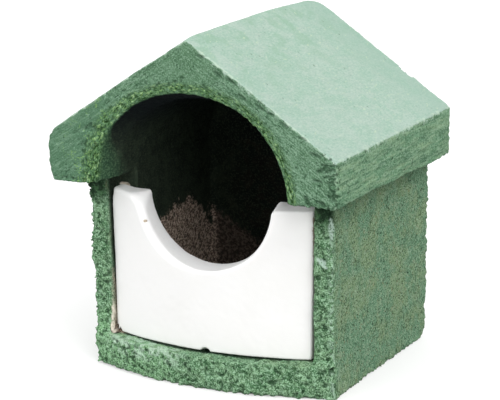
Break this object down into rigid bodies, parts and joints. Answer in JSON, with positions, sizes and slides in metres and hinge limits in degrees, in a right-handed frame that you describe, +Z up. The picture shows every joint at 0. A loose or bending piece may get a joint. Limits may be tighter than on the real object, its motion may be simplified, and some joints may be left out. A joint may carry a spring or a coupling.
{
  "type": "half-open nest box",
  "caption": "Gabled half-open nest box with a vaulted chamber, a bowed sill and a pull-out notched front panel.",
  "frame": {"origin": "centre of the bounding box on the ground plane", "axes": "+Z up, -Y out through the arch and the front panel, +X to the right of a viewer who faces the front"},
  "size_m": [0.217, 0.181, 0.24],
  "materials": {
    "body_casting": "rough green paint on wood-fibre concrete",
    "roof_casting": "matt green paint on smooth wood-fibre concrete",
    "front_panel": "satin white paint on smooth wood-fibre concrete"
  },
  "bodies": {
    "box": {"floor_slab": "body_casting", "front_sill": "body_casting", "left_jamb": "body_casting", "right_jamb": "body_casting", "left_wall": "body_casting", "right_wall": "body_casting", "back_wall": "body_casting", "left_roof_half": "roof_casting", "right_roof_half": "roof_casting", "rear_gable": "roof_casting"},
    "panel": {"front_panel": "front_panel"}
  },
  "joints": [
    {"name": "panel_pull", "type": "slide", "parent": "box", "child": "panel", "axis": [0, -1, 0], "range_m": [0, 0.045]}
  ]
}
